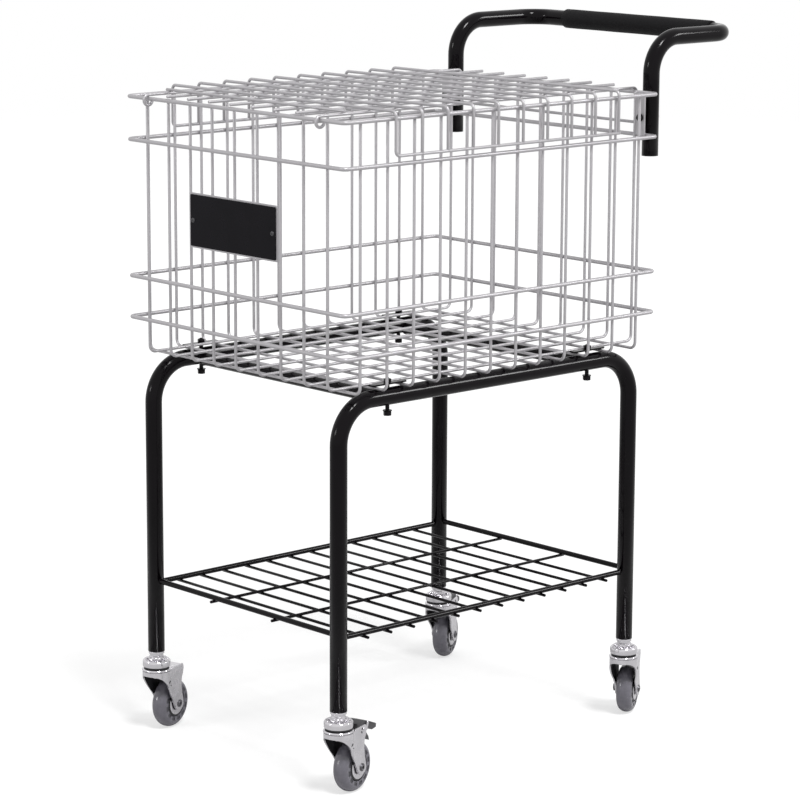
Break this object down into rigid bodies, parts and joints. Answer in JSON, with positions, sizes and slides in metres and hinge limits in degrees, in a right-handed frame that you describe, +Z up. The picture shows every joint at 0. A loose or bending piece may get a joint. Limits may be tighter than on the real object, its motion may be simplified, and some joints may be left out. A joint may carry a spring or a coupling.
{
  "type": "tennis ball cart",
  "caption": "Wire ball basket with a hinged wire lid on a bent tube frame with a lower wire shelf, a tube push handle and swivel casters, two of them with foot brakes.",
  "frame": {"origin": "centre of the whole cart's box, on the floor under the wheels", "axes": "+Z up, +X along the basket's long side toward the push handle, +Y across from the near long side to the far one"},
  "size_m": [0.834, 0.5074, 1.0589],
  "materials": {
    "silver_paint": "satin silver-grey powder coat",
    "black_paint": "glossy black powder coat",
    "chrome": "bright plated steel",
    "foam": "matt black foam sleeve",
    "black_plate": "smooth black sheet, bare",
    "tyre": "smooth grey tread",
    "hub": "pale grey moulded hub with thread guards",
    "pedal": "dark grey moulded pedal"
  },
  "bodies": {
    "cart": {"basket_floor": "silver_paint", "basket_side_near": "silver_paint", "basket_side_far": "silver_paint", "basket_end_left": "silver_paint", "basket_end_right": "silver_paint", "name_plate_backing": "silver_paint", "name_plate": "black_plate", "handle_tube": "black_paint", "handle_grip": "foam", "handle_plate_near": "silver_paint", "handle_plate_far": "silver_paint", "handle_bolt_near": "black_paint", "handle_bolt_far": "black_paint", "handle_nut_near": "black_paint", "handle_nut_far": "black_paint", "leg_frame_near": "black_paint", "leg_frame_far": "black_paint", "cross_tube_left": "black_paint", "cross_tube_right": "black_paint", "shelf": "black_paint", "clamp_bolt_left": "black_paint", "clamp_plate_left": "black_paint", "clamp_nut_left": "black_paint", "clamp_bolt_near": "black_paint", "clamp_plate_near": "black_paint", "clamp_nut_near": "black_paint", "clamp_bolt_right": "black_paint", "clamp_plate_right": "black_paint", "clamp_nut_right": "black_paint", "clamp_bolt_far": "black_paint", "clamp_plate_far": "black_paint", "clamp_nut_far": "black_paint", "caster_stem_left": "chrome", "caster_stem_near": "chrome", "caster_stem_right": "chrome", "caster_stem_far": "chrome"},
    "lid": {"lid_top": "silver_paint", "lid_end_wire": "silver_paint", "lid_skirt_near": "silver_paint", "lid_skirt_far": "silver_paint"},
    "swivel_left": {"fork_left": "chrome", "axle_left": "chrome"},
    "swivel_near": {"fork_near": "chrome", "axle_near": "chrome"},
    "swivel_right": {"fork_right": "chrome", "axle_right": "chrome"},
    "swivel_far": {"fork_far": "chrome", "axle_far": "chrome"},
    "wheel_left": {"tyre_left": "tyre", "hub_left": "hub"},
    "wheel_near": {"tyre_near": "tyre", "hub_near": "hub"},
    "wheel_right": {"tyre_right": "tyre", "hub_right": "hub"},
    "wheel_far": {"tyre_far": "tyre", "hub_far": "hub"},
    "brake_near": {"brake_pedal_near": "pedal", "brake_band_near": "chrome"},
    "brake_far": {"brake_pedal_far": "pedal", "brake_band_far": "chrome"}
  },
  "joints": [
    {"name": "lid_hinge", "type": "hinge", "parent": "cart", "child": "lid", "pos_m": [-0.40732, -0.00453, 0.96155], "axis": [0, -1, 0], "range_deg": [0, 175]},
    {"name": "swivel_left_turn", "type": "hinge", "parent": "cart", "child": "swivel_left", "pos_m": [-0.38937, 0.20447, 0.092], "axis": [0, 0, 1], "continuous": true},
    {"name": "swivel_near_turn", "type": "hinge", "parent": "cart", "child": "swivel_near", "pos_m": [-0.38937, -0.21353, 0.092], "axis": [0, 0, 1], "continuous": true},
    {"name": "swivel_right_turn", "type": "hinge", "parent": "cart", "child": "swivel_right", "pos_m": [0.19263, -0.21353, 0.092], "axis": [0, 0, 1], "continuous": true},
    {"name": "swivel_far_turn", "type": "hinge", "parent": "cart", "child": "swivel_far", "pos_m": [0.19263, 0.20447, 0.092], "axis": [0, 0, 1], "continuous": true},
    {"name": "wheel_left_spin", "type": "hinge", "parent": "swivel_left", "child": "wheel_left", "pos_m": [-0.35608, 0.21529, 0.0375], "axis": [-0.309, 0.9511, 0], "continuous": true},
    {"name": "wheel_near_spin", "type": "hinge", "parent": "swivel_near", "child": "wheel_near", "pos_m": [-0.35573, -0.20388, 0.0375], "axis": [-0.2756, 0.9613, 0], "continuous": true},
    {"name": "wheel_right_spin", "type": "hinge", "parent": "swivel_right", "child": "wheel_right", "pos_m": [0.22231, -0.19498, 0.0375], "axis": [-0.5299, 0.848, 0], "continuous": true},
    {"name": "wheel_far_spin", "type": "hinge", "parent": "swivel_far", "child": "wheel_far", "pos_m": [0.22353, 0.2209, 0.0375], "axis": [-0.4695, 0.8829, 0], "continuous": true},
    {"name": "brake_near_press", "type": "hinge", "parent": "swivel_near", "child": "brake_near", "pos_m": [-0.35092, -0.2025, 0.093], "axis": [-0.2756, 0.9613, 0], "range_deg": [0, 9]},
    {"name": "brake_far_press", "type": "hinge", "parent": "swivel_far", "child": "brake_far", "pos_m": [0.22795, 0.22325, 0.093], "axis": [-0.4695, 0.8829, 0], "range_deg": [0, 9]}
  ]
}
